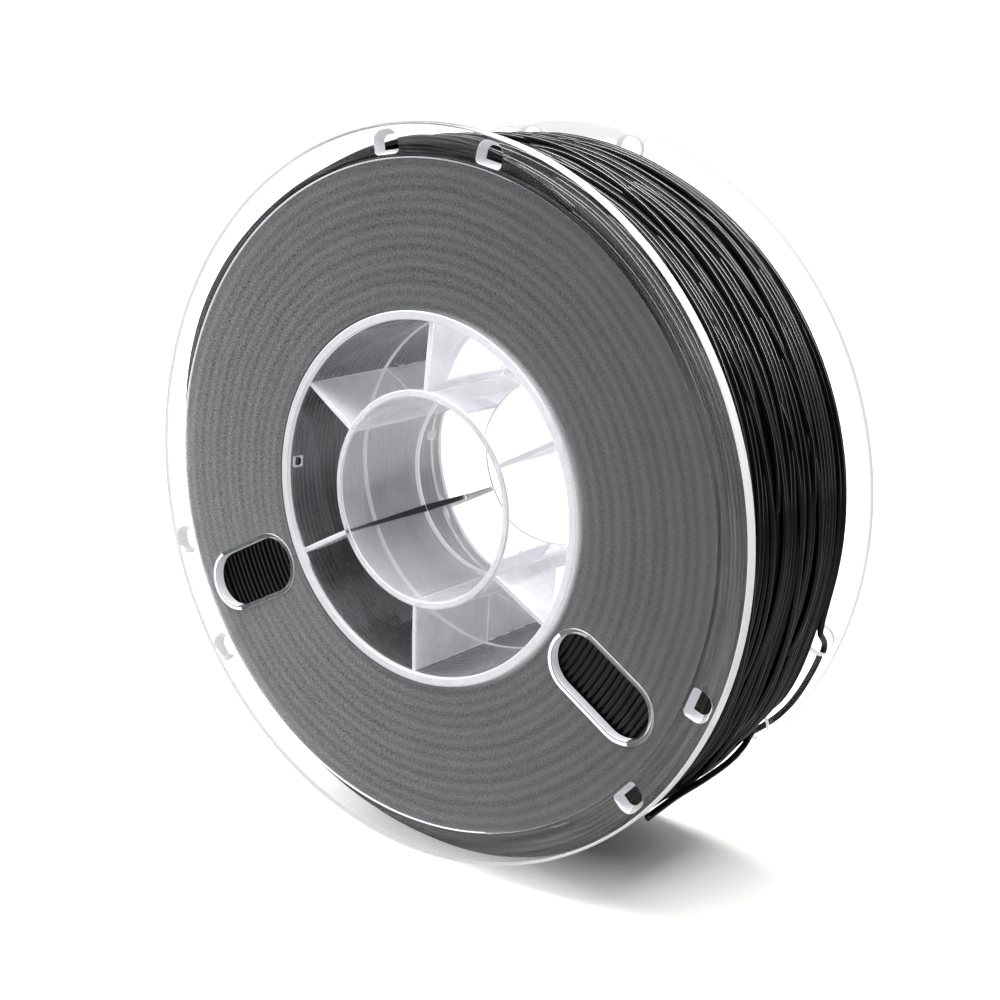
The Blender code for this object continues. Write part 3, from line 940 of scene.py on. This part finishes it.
def through(keys, per_span):
    """Catmull-Rom through (radius, degrees, y) keys, as world points in millimetres."""
    keys = np.array(keys, float)
    points = []
    for i in range(len(keys) - 1):
        before, start, stop = keys[max(i - 1, 0)], keys[i], keys[i + 1]
        after = keys[min(i + 2, len(keys) - 1)]
        slope = stop - before
        bend = 2 * before - 5 * start + 4 * stop - after
        twist = 3 * start - before - 3 * stop + after
        for t in np.arange(per_span) / per_span:
            points.append(0.5 * (2 * start + slope * t + bend * t**2 + twist * t**3))
    points.append(keys[-1])
    return polar(*np.array(points).T)


def finish_strand(obj, look, sharp=None):
    """Smooth shading, sharp above an angle in degrees if given, and one material."""
    for face in obj.data.polygons:
        face.use_smooth = True
    if sharp is not None:
        obj.data.set_sharp_from_angle(angle=math.radians(sharp))
    obj.data.materials.clear()
    obj.data.materials.append(look)
    return obj


def joined(name, objs):
    bm = bmesh.new()
    for obj in objs:
        bm.from_mesh(obj.data)
    mesh = bpy.data.meshes.new(name)
    bm.to_mesh(mesh)
    bm.free()
    for obj in objs:
        bpy.data.objects.remove(obj, do_unlink=True)
    return link(name, mesh)


TURN_ANGLES = full_turn(TURN_STEPS)

# The turns have sagged: how far out the coil reaches, as (degrees, millimetres).
REACH = [
    (-180, 93.2), (-150, 92.9), (-120, 93.0), (-100, 93.8), (-88, 95.2), (-76, 97.2),
    (-66, 98.6), (-56, 99.2), (-51, 98.7), (-47, 98.0), (-43, 96.9), (-38, 96.7),
    (-34, 96.3), (-29, 95.6), (-25, 94.8), (-21, 94.0), (-17, 93.5), (-6, 93.5),
    (20, 93.4), (43, 93.6), (58, 94.2), (66, 94.1), (78, 95.1), (87, 95.9),
    (94, 96.7), (100, 95.6), (107, 94.4), (114, 93.5), (122, 93.4), (130, 93.6),
    (145, 94.0), (160, 93.6), (172, 93.2),
]
LEVEL_REACH = 93.6  # where the coil neither sags nor sinks


def wrapped_degrees(angles):
    return (np.degrees(angles) + 180) % 360 - 180


def sag(angles):
    """How far the coil hangs beyond its level reach: REACH, smoothed over a few degrees."""
    at, size = np.array(REACH, float).T
    at = np.concatenate([at - 360, at, at + 360])
    size = np.tile(size, 3)
    degrees = wrapped_degrees(angles)
    total = 0
    for shift, weight in ((-2, 1), (-1, 2), (0, 3), (1, 2), (2, 1)):
        total = total + weight * np.interp(degrees + shift * 1.5, at, size)
    return total / 9 - LEVEL_REACH


def outward_sag(degrees):
    return max(0.0, float(sag(np.radians([degrees]))[0]))


# ---- pieces of the winding ------------------------------------------------------------------
def winding_core(rng):
    """The inside of the winding: strand rows show on its side faces and on the barrel side."""
    angles = full_turn(CORE_STEPS)
    columns = []  # each is (radius array, y array) over the angles
    side_wander, barrel_wander = (0.03, 0.02, 0.02), (0.015,)
    loose_r, loose_y = 0.09, 0.25

    def bead(radius, y, start, end, count, wander):
        radius_wave = random_wave(rng, angles, wander)
        y_wave = random_wave(rng, angles, wander) * 0.6
        for angle in np.radians(np.linspace(start, end, count)):
            columns.append((
                radius + radius_wave + STRAND_R * math.cos(angle),
                y + y_wave + STRAND_R * math.sin(angle),
            ))

    levels = FIRST_R + (TOP_R - FIRST_R) * np.arange(SIDE_ROWS) / SIDE_ROWS
    # up the +Y side from the barrel outwards, across, and down the -Y side
    for level in levels:
        radius = level + rng.uniform(-loose_r, loose_r)
        bead(radius, SIDE_Y - rng.uniform(0.0, loose_y), 172, 8, 8, side_wander)
    for y in (SIDE_Y, -SIDE_Y):
        columns.append((np.full(CORE_STEPS, TOP_R), np.full(CORE_STEPS, y)))
    for level in levels[::-1]:
        radius = level + rng.uniform(-loose_r, loose_r)
        bead(radius, -SIDE_Y + rng.uniform(0.0, loose_y), -8, -172, 8, side_wander)
    # back along the barrel
    for k in range(1, ACROSS - 1):
        bead(FIRST_R, -SIDE_Y + Y_PITCH * k, 235, 125, 5, barrel_wander)
    radius, y = (np.stack(parts, 1) for parts in zip(*columns))
    quads = band_quads(CORE_STEPS, len(columns))
    return shape("winding_core", about_y(radius, y, angles), quads.tolist())


def winding_layer(rng):
    """The full layer under the loose one."""
    wander = (0.05, 0.04, 0.03)
    rows = []
    for k in range(ACROSS):
        free = 0 if k in (0, ACROSS - 1) else 1  # the end turns lie against the flanges
        y = -SIDE_Y + Y_PITCH * k + random_wave(rng, TURN_ANGLES, wander) * free
        rows.append((TOP_R + random_wave(rng, TURN_ANGLES, wander), y))
    return rings("winding_layer", rows, 10)


def settle(wanted, gap, low, high):
    """Keeps neighbours at least a gap apart, in order, between low and high; then smooths."""
    rows = [row.copy() for row in wanted]
    last = len(rows) - 1
    for _ in range(3):
        for i in range(len(rows)):
            rows[i] = np.maximum(rows[i], low if i == 0 else rows[i - 1] + gap)
        for i in range(last, -1, -1):
            rows[i] = np.minimum(rows[i], high if i == last else rows[i + 1] - gap)
    kernel = np.array([1, 4, 7, 9, 7, 4, 1], float)
    kernel /= kernel.sum()
    return [
        np.convolve(np.concatenate([row[-3:], row, row[:3]]), kernel, "valid") for row in rows
    ]


# The last layer is loose: which places from -Y to +Y hold a turn.
RUNS = "1101001110110100111011101011101110"


def outer_layer(rng):
    """The loose last layer: runs of neighbouring turns with gaps that open and close."""
    angles = TURN_ANGLES
    sideways, share_wave = (1.4, 1.1, 0.8, 0.5, 0.35), (0.12, 0.1, 0.1)
    outward = (0.12, 0.12, 0.10, 0.09, 0.07)
    wanted = [
        -SIDE_Y + 0.6 + Y_PITCH * k + random_wave(rng, angles, sideways)
        for k, turn in enumerate(RUNS)
        if turn == "1"
    ]
    rows = settle(wanted, gap=PITCH * 0.985, low=-SIDE_Y, high=SIDE_Y - 1.2)
    hang = sag(angles)
    degrees = wrapped_degrees(angles)
    at_stowed_end = np.exp(-(((degrees + 42) / 6.0) ** 2))
    # 1 where the coil sags most
    full = np.clip((25.0 - np.abs(degrees + 45)) / 15.0, 0.0, 1.0)
    strands = []
    for k, y in enumerate(rows):
        # a strand sits lower in a groove of the layer below than on top of a turn
        groove = np.cos((y + SIDE_Y) / Y_PITCH * math.tau)
        # two turns in three follow the sag by less
        share = 1.0 - rng.uniform(0.0, 0.5) * (k % 3 > 0) + random_wave(rng, angles, share_wave)
        share = np.clip(share, 0.3, 1.0)
        share = share + (np.clip(share + 0.35, 0.0, 1.0) - share) * full
        lift = np.where(hang > 0, hang * share, hang)
        # near the rear flange they stay under the stowed end
        by_rear = np.clip((y - 22.5) / 3.5, 0.0, 1.0)
        lift = lift * np.clip(1.0 - by_rear * at_stowed_end, 0.0, 1.0)
        wander = np.minimum(random_wave(rng, angles, outward), 0.12)
        radius = TOP_R + 1.63 + 0.10 * groove + lift + wander
        strands.append((np.maximum(radius, TOP_R + 1.3), y))
    return rings("winding_outer_layer", strands, 12)


# Turns that ride across the others: start and stop in degrees, then start and stop y.
CROSSINGS = [
    (118, 6, -17.0, -5.8), (70, -22, 6.0, 17.2), (12, -84, -20.0, -9.3),
    (128, 27, 14.0, 23.2), (-14, -88, 0.0, 8.3), (250, 158, -6.0, 4.6),
    (96, 44, -24.0, -19.0), (84, 20, -3.0, -9.5), (60, 2, 18.0, 12.0),
    (40, -24, -14.0, -8.5), (24, -38, 3.0, 9.0), (2, -60, -25.0, -19.5),
    (-28, -92, -4.0, -11.0), (106, 62, 4.0, -1.0), (330, 268, 12.0, 6.0),
    (215, 150, 18.0, 10.0),
]
# (share of the way, height above the full layer) along a crossing
CROSSING_STATIONS = ((0.0, 0.9), (0.14, 2.25), (0.5, 2.35), (0.86, 2.25), (1.0, 0.9))


def crossing_turns():
    parts = []
    for k, (start, stop, first_y, last_y) in enumerate(CROSSINGS):
        keys = []
        for share, level in CROSSING_STATIONS:
            degrees = start + (stop - start) * share
            y = first_y + (last_y - first_y) * (share - 0.12 * math.sin(math.tau * share))
            keys.append((TOP_R + level + outward_sag(degrees), degrees, y))
        parts.append(tube("crossing_%d" % k, through(keys, 10)))
    return parts


# How far out the loose turns reach, as (degrees, millimetres).
BULGE = [
    (62, 92.5), (76, 94.2), (89, 96.2), (98, 95.3), (104.5, 94.1), (111, 93.3),
    (116.5, 92.7), (131, 93.2), (146, 94.3), (160, 94.6), (176, 92.2),
]
# Loose turns: first and last angle in degrees, y.
LOOSE_TURNS = ((176, 62, -29.2), (170, 62, -27.9), (162, 62, -26.5))


def bulging_turns():
    """Turns that stand a little proud beside the front flange at its upper left."""
    parts = []
    for k, (first, last, y) in enumerate(LOOSE_TURNS):
        keys = []
        for t in np.linspace(0.0, 1.0, 12):
            degrees = first + (last - first) * t
            if t in (0.0, 1.0):
                radius = TOP_R + 0.9
            else:
                radius = float(np.interp(degrees, *zip(*BULGE))) - 0.1 - 0.3 * k
            keys.append((radius, degrees, y + 0.3 * math.sin(5 * t + k)))
        parts.append(tube("loose_%d" % k, through(keys, 12)))
    return parts


# Hanging turns: share of the sag each takes, y.
HANGING_TURNS = (
    (0.24, -29.3), (0.5, -29.3), (0.76, -29.2), (1.0, -29.0),
    (0.4, -27.5), (0.8, -27.4), (0.3, 29.0), (0.62, 29.0),
)


def hanging_turns():
    """Where the coil sags, turns hang one over another beside each flange."""
    first, sweep, root = -112, 100, 0.7
    parts = []
    for k, (share, y) in enumerate(HANGING_TURNS):
        keys = []
        for t in np.linspace(0.0, 1.0, 13):
            degrees = first + sweep * t
            hang = 1.5 + outward_sag(degrees)
            if y > 0:
                hang = min(hang, 2.8)
            swell = math.sin(math.pi * t) ** 0.25
            keys.append((TOP_R + root + (hang - root) * share * swell, degrees, y))
        parts.append(tube("hanging_%d" % k, through(keys, 10)))
    return parts


def tucked_end():
    """The strand's first end, in the anchor hole in the barrel."""
    radii = np.linspace(BARREL_IN_R + 0.25, FIRST_R, 5)
    path = polar(radii, ANCHOR_ANGLE, -(ANCHOR_TOP - ANCHOR_SIDE / 2))
    return tube("tucked_end", path, sides=20, radius=1.22)


# The last half turn, the stowed end and the free tail are one strand: radius, degrees, y.
END_KEYS = [
    (93.3, 150, 26.6), (93.4, 120, 27.2), (93.4, 90, 27.7), (93.4, 60, 28.0),
    (93.5, 30, 28.2), (93.5, 8, 28.25), (93.5, -10.8, 28.25), (93.6, -14, 28.35),
    (94.0, -17, 28.5), (94.5, -19.4, 29.4), (95.0, -20.6, 31.4), (95.4, -22.0, 33.9),
    (95.8, -24.0, 35.1), (96.4, -28.5, 35.4), (97.0, -34.0, 35.4), (96.9, -38.0, 35.3),
    (96.5, -40.6, 34.2), (96.3, -41.7, 32.2), (96.2, -41.9, 29.9), (96.2, -41.9, 28.8),
    (96.5, -42.0, 27.0), (98.2, -42.5, 22.0), (99.6, -43.3, 14.0), (100.0, -44.6, 4.0),
    (99.9, -45.8, -6.0), (100.3, -46.4, -15.0), (100.7, -46.5, -21.4),
]


# ---- building the spool ---------------------------------------------------------------------
def build_shells():
    looks = {
        CLEAR: clear_look(),
        HUB: hub_look(),
        FROSTED: frosted_look(),
        EDGE: edge_look(
            "polystyrene_edges", (0.90, 0.89, 0.955), glow=0.30, transmission=0.25, tone=0.62
        ),
        RING: edge_look(
            "polystyrene_ring", (0.90, 0.895, 0.95), glow=0.43, transmission=0.2, tone=0.42
        ),
        STEP: edge_look(
            "polystyrene_step", (0.93, 0.925, 0.97), glow=0.80, transmission=0.2,
            milk_and_glow=dict(over=(-0.045, 0.05), to=(1.0, 0.12)),
        ),
        GLINT: edge_look(
            "polystyrene_far_edge", (0.95, 0.95, 0.97), glow=0.62, transmission=0.05, tone=0.12
        ),
        RIM: front_rim_look(),
        FAR_RIM: rear_rim_look(),
    }
    lip = edge_look("polystyrene_lip", (0.93, 0.92, 0.98), glow=0.28, transmission=0.0)
    looks[SHADE] = edge_look(
        "polystyrene_shadowed_wall", (0.5, 0.5, 0.52), glow=0.01, transmission=0.2, tone=0.12
    )
    front = finish_half("front_shell", build_half(FRONT_HOLE_DRAFT), False, looks)
    rear = finish_half("rear_shell", build_half(REAR_HOLE_DRAFT), True, looks)
    register(window_lips(lip), "clear_front")
    register(front, "clear_front", "front_half")
    register(rear, "clear_rear", "rear_half")


def build_winding():
    coil = filament_look("coil_black", (0.0018, 0.0018, 0.0019), roughness=0.19)
    coil_top = filament_look("coil_black_outer", (0.002, 0.002, 0.0021), roughness=0.15)
    core = finish_strand(winding_core(np.random.default_rng(SEED)), coil)
    register(core, "filament_black", "filament_pack")

    # the outer layers have a run of random numbers of their own, further along
    rng = np.random.default_rng(SEED)
    rng.uniform(size=648)
    register(finish_strand(winding_layer(rng), coil), "filament_black")
    register(finish_strand(outer_layer(rng), coil_top), "filament_black")

    parts = crossing_turns() + bulging_turns() + hanging_turns() + [tucked_end()]
    loose = finish_strand(joined("winding_loose_turns", parts), coil_top, sharp=60)
    register(loose, "filament_black", "filament_outer_turns")

    end = tube("strand_free_end", through(END_KEYS, 10), sides=16)
    finish_strand(end, coil_top, sharp=60)
    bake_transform(end)
    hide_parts("filament_stowed_end", "filament_tail")


# ---- stage, in metres -----------------------------------------------------------------------
def stage_light(nodes):
    """1 where a ray has only passed straight through clear plastic, or comes from the camera."""
    path = nodes.make("ShaderNodeLightPath", {}).outputs
    bounces = nodes.plus(path["Glossy Depth"], path["Diffuse Depth"])
    straight = nodes.math("LESS_THAN", bounces, 0.5)
    through_clear = nodes.times(path["Is Transmission Ray"], straight)
    return nodes.larger(path["Is Camera Ray"], through_clear)


def build_world(scene):
    """Even white where it is looked at; in reflections brighter to the left and the rear."""
    world = bpy.data.worlds.new("studio")
    scene.world = world
    world.use_nodes = True
    nodes = Nodes(world.node_tree)
    times, spread = nodes.times, nodes.spread
    x, y, z = nodes.split(nodes.make("ShaderNodeTexCoord", {}).outputs["Generated"])
    left = spread(x, over=(0.12, 0.45), to=(1.0, 0.03))
    rear = spread(y, over=(-0.5, 0.35), to=(0.42, 1.0))
    overhead = spread(z, over=(0.55, 0.85), to=(1.0, 0.15))
    room = times(left, rear, overhead)
    # the rear left corner is dimmed
    corner = times(spread(x, over=(-0.5, -0.1), to=(1.0, 0.0)), spread(y, over=(0.3, 0.7)))
    corner_loss = 0.6
    room = times(room, nodes.inverse(times(corner, corner_loss)))
    # matt surfaces are lit by a softer room
    soft = spread(x, over=(-0.7, 0.7), to=(0.66, 0.40))
    diffuse_depth = nodes.make("ShaderNodeLightPath", {}).outputs["Diffuse Depth"]
    scattered = nodes.math("GREATER_THAN", diffuse_depth, 0.5)
    room = nodes.plus(times(nodes.inverse(scattered), room), times(scattered, soft))
    seen_strength = 1.02
    nodes.fill(world.node_tree.nodes["Background"], {
        "Strength": nodes.choose(stage_light(nodes), seen_strength, room),
        "Color": (1.0, 1.0, 1.0, 1.0),
    })
    world.cycles.sampling_method = "NONE"


def floor_look():
    """Pale where it is looked at, dimmer in what it reflects onto the spool."""
    material, nodes, shader, place = new_material("pale_floor")
    times, spread = nodes.times, nodes.spread
    x, y, _ = nodes.split(place)
    y_lean, seen_tone, blue_share = 0.22, 0.92, 0.985
    away = nodes.minus(x, times(y, y_lean))
    far = nodes.length(x, y)
    near_dim = spread(away, over=(0.08, 0.32), to=(0.22, 0.10))
    dim = times(near_dim, spread(far, over=(0.3, 1.2), to=(1.0, 0.6)))
    seen = stage_light(nodes)
    tone = nodes.larger(times(seen, seen_tone), dim)

    # painted light fills the floor's shadow away from an oval patch, standing in for light through
    # the clear plastic
    centre_x, centre_y, patch_x, patch_y = 0.040, 0.012, 0.024, 0.026
    off = nodes.length(
        nodes.math("DIVIDE", nodes.minus(x, centre_x), patch_x),
        nodes.math("DIVIDE", nodes.minus(y, centre_y), patch_y),
    )
    painted_fill = times(
        spread(off, over=(0.4, 1.25), to=(0.0, 0.32)),
        spread(y, over=(-0.02, 0.025), to=(1.0, 0.15)),
    )
    painted_fill = nodes.plus(painted_fill, spread(y, over=(-0.031, -0.018), to=(0.32, 0.0)))
    glow = nodes.larger(spread(far, over=(0.16, 0.45)), painted_fill)
    nodes.fill(shader, {
        "Base Color": nodes.combine(tone, tone, times(tone, blue_share)),
        "Roughness": 0.9,
        "Specular IOR Level": 0.1,
        "Emission Color": (1.0, 1.0, 1.0, 1.0),
        "Emission Strength": times(glow, seen),
    })
    return material


def build_floor():
    half, z = 3.0, front_low.z
    corners = [(-half, -half, z), (half, -half, z), (half, half, z), (-half, half, z)]
    floor = shape("floor", corners, [[0, 1, 2, 3]])
    floor.data.materials.append(floor_look())


def softbox(name, place, aim, size, power, glossy=True, diffuse=True):
    """A rectangular light that the camera doesn't see, directly or through the plastic."""
    data = bpy.data.lights.new(name, "AREA")
    data.shape = "RECTANGLE"
    data.size, data.size_y = size
    data.energy = power
    obj = link(name, data)
    obj.location = place
    obj.rotation_mode = "QUATERNION"
    obj.rotation_quaternion = (Vector(aim) - Vector(place)).to_track_quat("-Z", "Y")
    obj.visible_camera = False
    obj.visible_transmission = False
    obj.visible_glossy = glossy
    obj.visible_diffuse = diffuse


def build_lights():
    softbox("key", (-0.08, -0.05, 1.1), aim=(0.0, -0.05, 0.0), size=(1.1, 1.6), power=38.0,
            glossy=False)
    softbox("side", (-0.95, -0.22, 0.62), aim=(0.0, 0.0, -0.08), size=(0.7, 0.7), power=24.0,
            glossy=False)
    # A long narrow light overhead draws the crisp lines along the strands; weaker ones at
    # both its ends let the lines fade out. Name, x, length, power.
    strips = (
        ("strip", 0.6, 1.9, 54.0),
        ("strip_end_0", 1.85, 0.6, 6.6),
        ("strip_end_1", 2.45, 0.6, 2.9),
        ("strip_end_2", 3.05, 0.6, 1.3),
        ("strip_end_3", -0.65, 0.6, 10.0),
        ("strip_end_4", -1.25, 0.6, 4.5),
    )
    strip_y, strip_z, strip_width = -0.12, 1.1, 0.22
    for name, x, length, power in strips:
        softbox(name, (x, strip_y, strip_z), aim=(x, strip_y, 0.0),
                size=(length, strip_width), power=power, diffuse=False)
    # and a tall one at the right for the turns that face that way
    softbox("tall", (1.1, 0.1, 0.25), aim=(0.0, 0.0, 0.0), size=(0.35, 0.9), power=3.0,
            diffuse=False)


# the camera's direction from the spool, in radians, and its distance and offsets in metres
AZIMUTH, ELEVATION, ROLL = 0.6461283511558061, 0.1983945978154158, 0.03865509550391182
DISTANCE, OFFSET_RIGHT, OFFSET_UP = 0.4848909437871869, -0.001475658912702214, 0.025450223257524322
# lens and sensor in millimetres, shifts as shares of the sensor's width
SENSOR_WIDTH, LENS = 36.0, 61.95182178703671
SHIFT_X, SHIFT_Y = 0.0073024049313951, -0.1117309935902524


def build_camera(scene):
    """A camera at the front right, a little above the spool."""
    level = math.cos(ELEVATION)
    back = Vector((math.sin(AZIMUTH) * level, -math.cos(AZIMUTH) * level, math.sin(ELEVATION)))
    right = Vector((math.cos(AZIMUTH), math.sin(AZIMUTH), 0.0))
    upward = back.cross(right)
    place = back * DISTANCE + right * OFFSET_RIGHT + upward * OFFSET_UP
    rolled_right = math.cos(ROLL) * right + math.sin(ROLL) * upward
    rolled_up = -math.sin(ROLL) * right + math.cos(ROLL) * upward
    data = bpy.data.cameras.new("camera")
    camera = link("camera", data)
    rows = zip(rolled_right, rolled_up, back, place)
    camera.matrix_world = Matrix((*rows, (0, 0, 0, 1)))
    data.sensor_width = SENSOR_WIDTH
    data.lens = LENS
    data.shift_x, data.shift_y = SHIFT_X, SHIFT_Y
    data.clip_start, data.clip_end = 0.01, 50.0
    scene.camera = camera


def set_render(scene):
    scene.view_settings.view_transform = "Standard"
    scene.view_settings.look = "None"
    scene.cycles.max_bounces = 32
    scene.cycles.transmission_bounces = 28
    scene.cycles.glossy_bounces = 16
    scene.cycles.diffuse_bounces = 3
    scene.cycles.transparent_max_bounces = 16
    scene.cycles.sample_clamp_indirect = 6.0


build_shells()
build_winding()
build_world(bpy.context.scene)
build_floor()
build_lights()
build_camera(bpy.context.scene)
set_render(bpy.context.scene)
